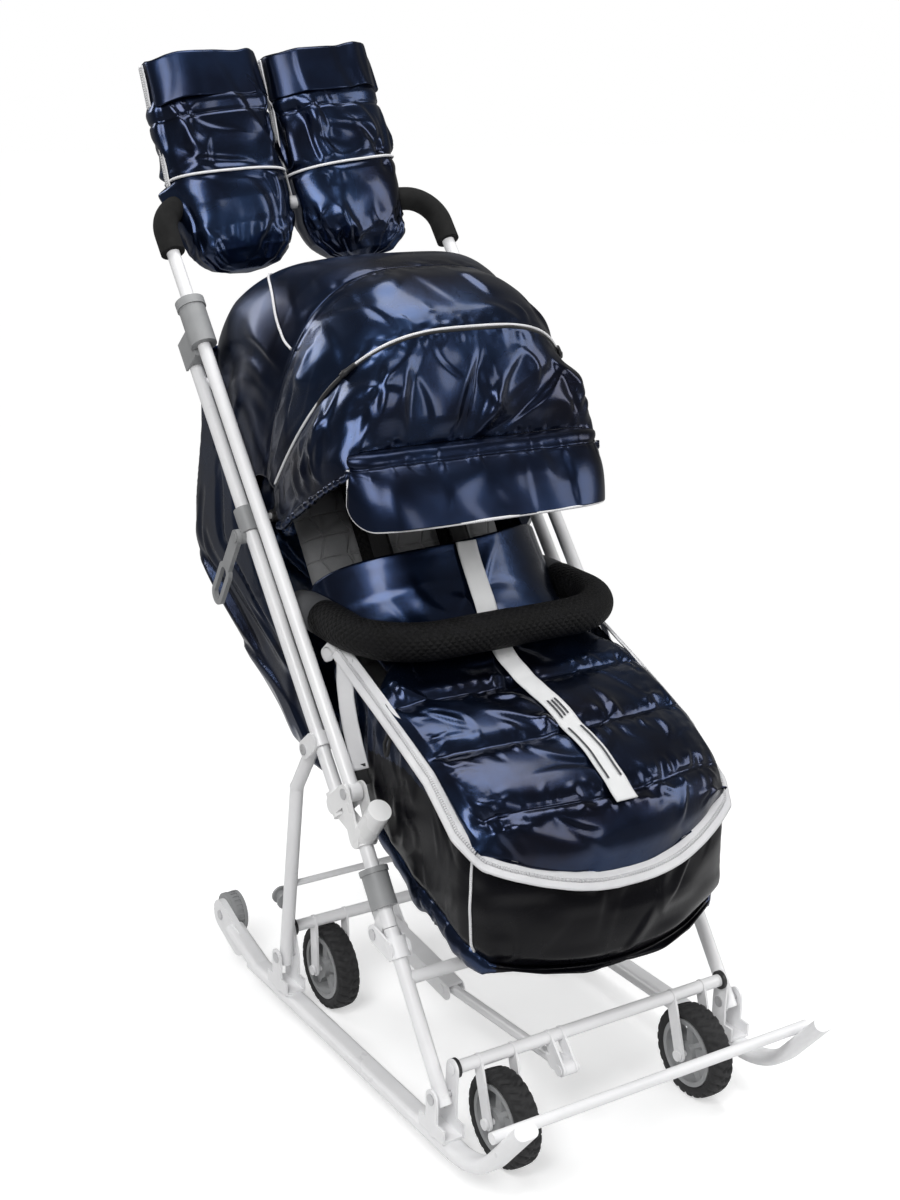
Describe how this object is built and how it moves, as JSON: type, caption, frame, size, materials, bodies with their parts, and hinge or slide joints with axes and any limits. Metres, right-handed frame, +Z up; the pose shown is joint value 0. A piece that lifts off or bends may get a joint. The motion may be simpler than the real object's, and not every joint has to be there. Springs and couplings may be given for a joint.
{
  "type": "sled stroller",
  "caption": "Folding sled stroller on steel runners with lift-up road wheels, flip-over handle with hand mitts, reclining seat, folding hood, bumper and padded foot bag.",
  "frame": {"origin": "on the floor, at the middle of the whole width and length", "axes": "+Z up, -Y is the front where the child looks, +X is the child's left"},
  "size_m": [0.482, 1.0204, 1.2685],
  "materials": {
    "white_frame": "white powder coat",
    "zinc": "zinc plated",
    "grey_plastic": "moulded grey plastic",
    "black_plastic": "moulded black plastic",
    "tyre": "treaded black rubber",
    "foam": "closed-cell foam",
    "white_plastic": "moulded white plastic",
    "navy_cloth": "glossy coated nylon",
    "lining": "quilted lining",
    "black_cloth": "padded mesh cloth"
  },
  "bodies": {
    "base": {"runner_left": "white_frame", "runner_right": "white_frame", "tip_bar": "white_frame", "front_bracket_left": "white_frame", "front_bracket_right": "white_frame", "rear_bracket_left": "white_frame", "rear_bracket_right": "white_frame", "base_bolts": "zinc", "axle_bushings": "black_plastic"},
    "front_axle": {"front_axle": "white_frame"},
    "rear_axle": {"rear_axle": "white_frame"},
    "lift_link": {"lift_tube": "white_frame", "lift_channel": "white_frame"},
    "wheel_fl": {"tyre_fl": "tyre", "hub_fl": "grey_plastic"},
    "wheel_fr": {"tyre_fr": "tyre", "hub_fr": "grey_plastic"},
    "wheel_rl": {"tyre_rl": "tyre", "hub_rl": "grey_plastic"},
    "wheel_rr": {"tyre_rr": "tyre", "hub_rr": "grey_plastic"},
    "carry_wheel_left": {"carry_wheel_left": "grey_plastic"},
    "carry_wheel_right": {"carry_wheel_right": "grey_plastic"},
    "front_legs": {"front_legs": "white_frame"},
    "rear_legs": {"rear_legs": "white_frame", "fold_knobs": "grey_plastic"},
    "back_frame": {"back_frame": "white_frame", "elbow_left": "white_plastic", "elbow_right": "white_plastic", "upper_leg_left": "white_frame", "upper_leg_right": "white_frame", "frame_rivets": "zinc", "recline_clamp_left": "grey_plastic", "recline_clamp_right": "grey_plastic", "seat_pad": "lining", "bumper_bar": "black_cloth", "back_cover": "navy_cloth", "hood_rear": "navy_cloth", "leg_rest_board": "black_plastic", "foot_bag": "navy_cloth", "foot_cover": "navy_cloth"},
    "leg_lock_left": {"leg_lock_left": "grey_plastic"},
    "leg_lock_right": {"leg_lock_right": "grey_plastic"},
    "handle": {"handle_bar": "white_frame", "grips": "foam", "mitt_left": "navy_cloth", "mitt_right": "navy_cloth"},
    "handle_lock_left": {"handle_lock_left": "grey_plastic"},
    "handle_lock_right": {"handle_lock_right": "grey_plastic"},
    "recline_lever_left": {"recline_lever_left": "grey_plastic"},
    "recline_lever_right": {"recline_lever_right": "grey_plastic"},
    "backrest": {"backrest_pad": "lining", "harness_pads": "black_cloth"},
    "hood_mid": {"hood_bow_mid": "black_plastic", "hood_mid": "navy_cloth"},
    "hood_front": {"hood_bow_front": "black_plastic", "hood_visor": "navy_cloth"}
  },
  "joints": [
    {"name": "wheel_lift", "type": "hinge", "parent": "base", "child": "front_axle", "pos_m": [0, -0.33245, 0.1326], "axis": [1, 0, 0], "range_deg": [0, 85]},
    {"name": "rear_wheel_lift", "type": "hinge", "parent": "base", "child": "rear_axle", "pos_m": [0, 0.08155, 0.1326], "axis": [1, 0, 0], "range_deg": [0, 85]},
    {"name": "link_swing", "type": "hinge", "parent": "front_axle", "child": "lift_link", "pos_m": [0, -0.36045, 0.1026], "axis": [1, 0, 0], "range_deg": [-85, 0]},
    {"name": "wheel_fl_spin", "type": "hinge", "parent": "front_axle", "child": "wheel_fl", "pos_m": [-0.145, -0.35445, 0.06], "axis": [1, 0, 0], "continuous": true},
    {"name": "wheel_fr_spin", "type": "hinge", "parent": "front_axle", "child": "wheel_fr", "pos_m": [0.145, -0.35445, 0.06], "axis": [1, 0, 0], "continuous": true},
    {"name": "wheel_rl_spin", "type": "hinge", "parent": "rear_axle", "child": "wheel_rl", "pos_m": [-0.145, 0.07955, 0.06], "axis": [1, 0, 0], "continuous": true},
    {"name": "wheel_rr_spin", "type": "hinge", "parent": "rear_axle", "child": "wheel_rr", "pos_m": [0.145, 0.07955, 0.06], "axis": [1, 0, 0], "continuous": true},
    {"name": "carry_wheel_left_spin", "type": "hinge", "parent": "base", "child": "carry_wheel_left", "pos_m": [-0.2, 0.27355, 0.073], "axis": [1, 0, 0], "continuous": true},
    {"name": "carry_wheel_right_spin", "type": "hinge", "parent": "base", "child": "carry_wheel_right", "pos_m": [0.2, 0.27355, 0.073], "axis": [1, 0, 0], "continuous": true},
    {"name": "fold", "type": "hinge", "parent": "base", "child": "front_legs", "pos_m": [0, -0.33045, 0.1], "axis": [1, 0, 0], "range_deg": [0, 95], "deforming": ["back_cover"]},
    {"name": "frame_fold", "type": "hinge", "parent": "front_legs", "child": "back_frame", "pos_m": [0, -0.19221, 0.25075], "axis": [1, 0, 0], "range_deg": [-138.6, 0]},
    {"name": "rear_leg_fold", "type": "hinge", "parent": "base", "child": "rear_legs", "pos_m": [0, 0.07055, 0.1], "axis": [1, 0, 0], "range_deg": [0, 51.9]},
    {"name": "handle_flip", "type": "hinge", "parent": "back_frame", "child": "handle", "pos_m": [0, -0.12245, 0.408], "axis": [1, 0, 0], "range_deg": [0, 76]},
    {"name": "leg_lock_left_slide", "type": "slide", "parent": "back_frame", "child": "leg_lock_left", "axis": [0, 0.5807, 0.8141], "range_m": [0, 0.026]},
    {"name": "leg_lock_right_slide", "type": "slide", "parent": "back_frame", "child": "leg_lock_right", "axis": [0, 0.5807, 0.8141], "range_m": [0, 0.026]},
    {"name": "handle_lock_left_slide", "type": "slide", "parent": "handle", "child": "handle_lock_left", "axis": [0, 0.6293, 0.7771], "range_m": [0, 0.035]},
    {"name": "handle_lock_right_slide", "type": "slide", "parent": "handle", "child": "handle_lock_right", "axis": [0, 0.6293, 0.7771], "range_m": [0, 0.035]},
    {"name": "recline_lever_left_turn", "type": "hinge", "parent": "back_frame", "child": "recline_lever_left", "pos_m": [0, 0.15108, 0.66903], "axis": [1, 0, 0], "range_deg": [0, 60]},
    {"name": "recline_lever_right_turn", "type": "hinge", "parent": "back_frame", "child": "recline_lever_right", "pos_m": [0, 0.15108, 0.66903], "axis": [1, 0, 0], "range_deg": [0, 60]},
    {"name": "backrest_recline", "type": "hinge", "parent": "back_frame", "child": "backrest", "pos_m": [0, -0.02105, 0.4098], "axis": [1, 0, 0], "range_deg": [-24, 0]},
    {"name": "hood_fold", "type": "hinge", "parent": "back_frame", "child": "hood_front", "pos_m": [0, 0.15555, 0.69], "axis": [1, 0, 0], "range_deg": [-58, 0], "deforming": ["hood_visor", "hood_mid"]},
    {"name": "hood_mid_fold", "type": "hinge", "parent": "back_frame", "child": "hood_mid", "pos_m": [0, 0.15555, 0.69], "axis": [1, 0, 0], "range_deg": [-38.5, 0]}
  ],
  "couplings": [
    {"joint": "rear_wheel_lift", "follows": "wheel_lift", "ratio": 1},
    {"joint": "link_swing", "follows": "wheel_lift", "ratio": -1},
    {"joint": "frame_fold", "follows": "fold", "ratio": -1.4532},
    {"joint": "rear_leg_fold", "follows": "fold", "ratio": 0.54071},
    {"joint": "hood_mid_fold", "follows": "hood_fold", "ratio": 0.66}
  ]
}
